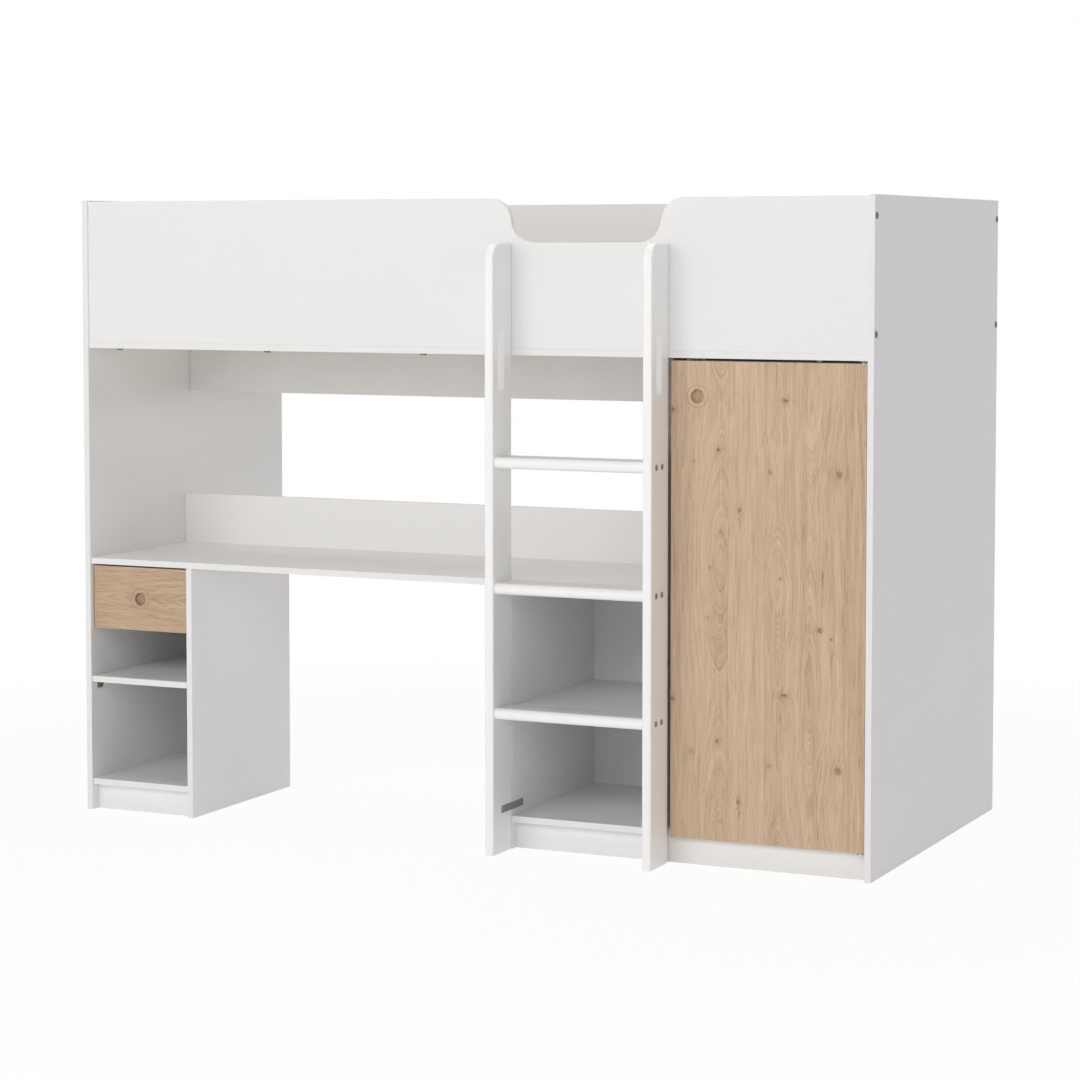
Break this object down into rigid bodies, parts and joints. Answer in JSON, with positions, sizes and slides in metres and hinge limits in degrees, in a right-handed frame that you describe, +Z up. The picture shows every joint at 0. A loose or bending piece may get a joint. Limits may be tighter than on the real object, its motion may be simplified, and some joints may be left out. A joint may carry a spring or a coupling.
{
  "type": "high sleeper bed",
  "caption": "High sleeper bed: guarded slatted deck with entry ladder over a desk with drawer, open bookcase and an oak-fronted wardrobe; the door swings and the drawer slides.",
  "frame": {"origin": "middle of the footprint on the floor", "axes": "+X along the bed from the desk end to the wardrobe end, +Y from the ladder side to the back, +Z up"},
  "size_m": [2.045, 1.0426, 1.508],
  "materials": {
    "white_board": "white melamine faced board with matching edge band",
    "white_back": "thin white lacquered hardboard",
    "white_ladder": "white lacquered wood, satin",
    "oak_board": "oak effect laminate with knots, matt",
    "raw_pine": "planed softwood, unfinished",
    "dark_steel": "dark zinc finish",
    "zinc_steel": "bright zinc plated steel",
    "rail_steel": "polished plated tube",
    "grey_plastic": "grey moulded plastic",
    "white_plastic": "white nylon"
  },
  "bodies": {
    "bed_frame": {"barrel_nuts": "zinc_steel", "bed_slats": "raw_pine", "bookcase_back": "white_back", "bookcase_bottom": "white_board", "bookcase_plinth": "white_board", "bookcase_shelf": "white_board", "bookcase_side": "white_board", "bottom_pivot_bracket": "zinc_steel", "centre_beam": "white_board", "desk_top": "white_board", "desk_upstand": "white_board", "door_catch": "white_plastic", "drawer_runner_left": "white_plastic", "drawer_runner_right": "white_plastic", "end_bolts": "dark_steel", "front_guard_panel": "white_board", "front_ledge": "white_board", "hanging_rail": "rail_steel", "hanging_rail_sockets": "grey_plastic", "joining_plates": "dark_steel", "ladder_bolts": "dark_steel", "ladder_rail_left": "white_ladder", "ladder_rail_right": "white_ladder", "ladder_rung_lower": "white_ladder", "ladder_rung_middle": "white_ladder", "ladder_rung_upper": "white_ladder", "ledge_screws": "dark_steel", "left_end_panel": "white_board", "pedestal_back": "white_back", "pedestal_bottom": "white_board", "pedestal_plinth": "white_board", "pedestal_shelf": "white_board", "pedestal_side": "white_board", "rear_guard_panel": "white_board", "rear_ledge": "white_board", "right_end_panel": "white_board", "rung_screws": "dark_steel", "shelf_pins": "grey_plastic", "top_pivot_plate": "zinc_steel", "wardrobe_back": "white_back", "wardrobe_bottom": "white_board", "wardrobe_divider": "white_board", "wardrobe_plinth": "white_board", "wardrobe_shelf": "white_board", "wood_dowels": "raw_pine", "wood_screws": "zinc_steel"},
    "door": {"wardrobe_door": "oak_board", "door_pull": "oak_board", "pivot_bushes": "white_plastic", "catch_plate": "zinc_steel"},
    "drawer": {"drawer_front": "oak_board", "drawer_pull": "oak_board", "drawer_side_left": "white_board", "drawer_side_right": "white_board", "drawer_back": "white_board", "drawer_bottom": "white_back"}
  },
  "joints": [
    {"name": "door_swing", "type": "hinge", "parent": "bed_frame", "child": "door", "pos_m": [0.9935, -0.41325, 0.6], "axis": [0, 0, 1], "range_deg": [0, 105]},
    {"name": "drawer_slide", "type": "slide", "parent": "bed_frame", "child": "drawer", "axis": [0, -1, 0], "range_m": [0, 0.28]}
  ]
}
